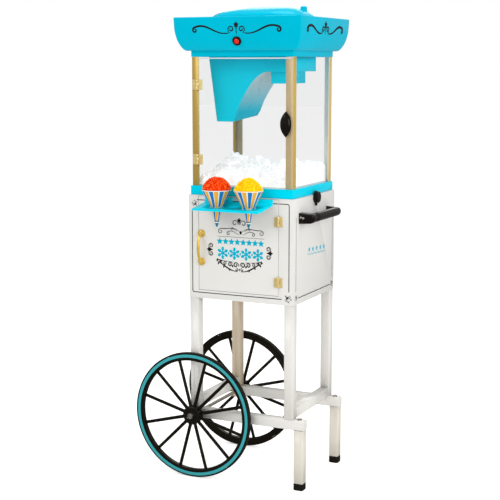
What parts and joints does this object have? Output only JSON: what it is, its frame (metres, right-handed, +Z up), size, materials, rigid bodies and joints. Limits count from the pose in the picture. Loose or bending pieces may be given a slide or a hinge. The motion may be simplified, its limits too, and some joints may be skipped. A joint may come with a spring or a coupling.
{
  "type": "shaved ice machine",
  "caption": "Shaved ice cart with a clear case under a flared hood, ice chute, hinged lid and doors, cone shelf, push handle, spoked wheels and foot posts.",
  "frame": {"origin": "on the floor, at the centre of the cart's footprint", "axes": "+Z up, the doors and the cone shelf face -Y, the push handle and the foot posts are at +X, the wheels at -X"},
  "size_m": [0.548, 0.4268, 1.3734],
  "materials": {
    "cream_paint": "gloss",
    "white_paint": "gloss",
    "teal_plastic": "gloss",
    "black_metal": "satin",
    "black_rubber": "matte",
    "black_plastic": "gloss",
    "steel": "satin",
    "brass": "satin",
    "clear_pane": "gloss",
    "white_plastic": "satin",
    "paper": "matte",
    "red_plastic": "gloss",
    "ice": "matte"
  },
  "bodies": {
    "cart": {"leg_front_left": "cream_paint", "leg_front_right": "cream_paint", "leg_rear_left": "cream_paint", "leg_rear_right": "cream_paint", "lower_rail_front": "cream_paint", "lower_rail_rear": "cream_paint", "cross_rail_left": "cream_paint", "cross_rail_right": "cream_paint", "foot_post_front": "cream_paint", "foot_post_rear": "cream_paint", "cabinet_shell": "white_paint", "base_rim": "teal_plastic", "hood_shell": "teal_plastic", "ice_chute": "teal_plastic", "motor_housing": "teal_plastic", "foot_cap_front": "black_rubber", "foot_cap_rear": "black_rubber", "push_handle": "black_plastic", "handle_bracket_front": "black_plastic", "handle_bracket_rear": "black_plastic", "switch_bezel": "black_plastic", "axle": "steel", "axle_nut_front": "steel", "axle_nut_rear": "steel", "magnet_catch": "steel", "motor": "steel", "post_front_left": "brass", "post_front_right": "brass", "post_rear_left": "brass", "post_rear_right": "brass", "cabinet_hinge_upper_fixed": "brass", "cabinet_hinge_lower_fixed": "brass", "glass_hinge_upper_fixed": "brass", "glass_hinge_lower_fixed": "brass", "glass_left": "clear_pane", "glass_right": "clear_pane", "glass_rear": "clear_pane", "ice_pan": "white_plastic", "ice_hopper": "white_plastic", "ice_pile": "ice"},
    "cabinet_door": {"cabinet_door": "white_paint", "cabinet_pull": "brass", "cone_shelf": "teal_plastic", "cabinet_hinge_upper_leaf": "brass", "cabinet_hinge_lower_leaf": "brass"},
    "glass_door": {"glass_door": "clear_pane", "glass_door_handle": "black_plastic", "glass_hinge_upper_leaf": "brass", "glass_hinge_lower_leaf": "brass"},
    "wheel_front": {"wheel_front": "black_metal", "tyre_front": "black_rubber"},
    "wheel_rear": {"wheel_rear": "black_metal", "tyre_rear": "black_rubber"},
    "hopper_lid": {"hopper_lid": "teal_plastic", "lid_knob": "teal_plastic"},
    "power_button": {"power_button": "red_plastic"},
    "drain_knob": {"drain_knob": "black_plastic"},
    "blade": {"blade_disc": "steel"},
    "snow_cone_left": {"snow_cone_left": "paper"},
    "snow_cone_right": {"snow_cone_right": "paper"}
  },
  "joints": [
    {"name": "cabinet_door_hinge", "type": "hinge", "parent": "cart", "child": "cabinet_door", "pos_m": [0.1824, -0.1294, 0.69975], "axis": [0, 0, 1], "range_deg": [0, 100]},
    {"name": "glass_door_hinge", "type": "hinge", "parent": "cart", "child": "glass_door", "pos_m": [-0.0745, -0.1227, 1.04825], "axis": [0, 0, -1], "range_deg": [0, 110]},
    {"name": "hopper_lid_hinge", "type": "hinge", "parent": "cart", "child": "hopper_lid", "pos_m": [-0.082, 0.0274, 1.3409], "axis": [0, -1, 0], "range_deg": [0, 100]},
    {"name": "wheel_front_spin", "type": "hinge", "parent": "cart", "child": "wheel_front", "pos_m": [-0.086, -0.1396, 0.188], "axis": [0, 1, 0], "continuous": true},
    {"name": "wheel_rear_spin", "type": "hinge", "parent": "cart", "child": "wheel_rear", "pos_m": [-0.086, 0.1944, 0.188], "axis": [0, 1, 0], "continuous": true},
    {"name": "blade_spin", "type": "hinge", "parent": "cart", "child": "blade", "pos_m": [0.144, 0.0274, 1.2337], "axis": [0, 0, 1], "continuous": true},
    {"name": "power_button_press", "type": "slide", "parent": "cart", "child": "power_button", "axis": [0, 0.9397, 0.342], "range_m": [0, 0.0025], "stiffness_N_per_m": 800},
    {"name": "drain_knob_turn", "type": "hinge", "parent": "cart", "child": "drain_knob", "pos_m": [0.229, 0.0309, 0.8316], "axis": [1, 0, 0], "range_deg": [0, 90]},
    {"name": "snow_cone_left_lift", "type": "slide", "parent": "cabinet_door", "child": "snow_cone_left", "axis": [0, 0, 1], "range_m": [0, 0.15]},
    {"name": "snow_cone_right_lift", "type": "slide", "parent": "cabinet_door", "child": "snow_cone_right", "axis": [0, 0, 1], "range_m": [0, 0.15]}
  ]
}
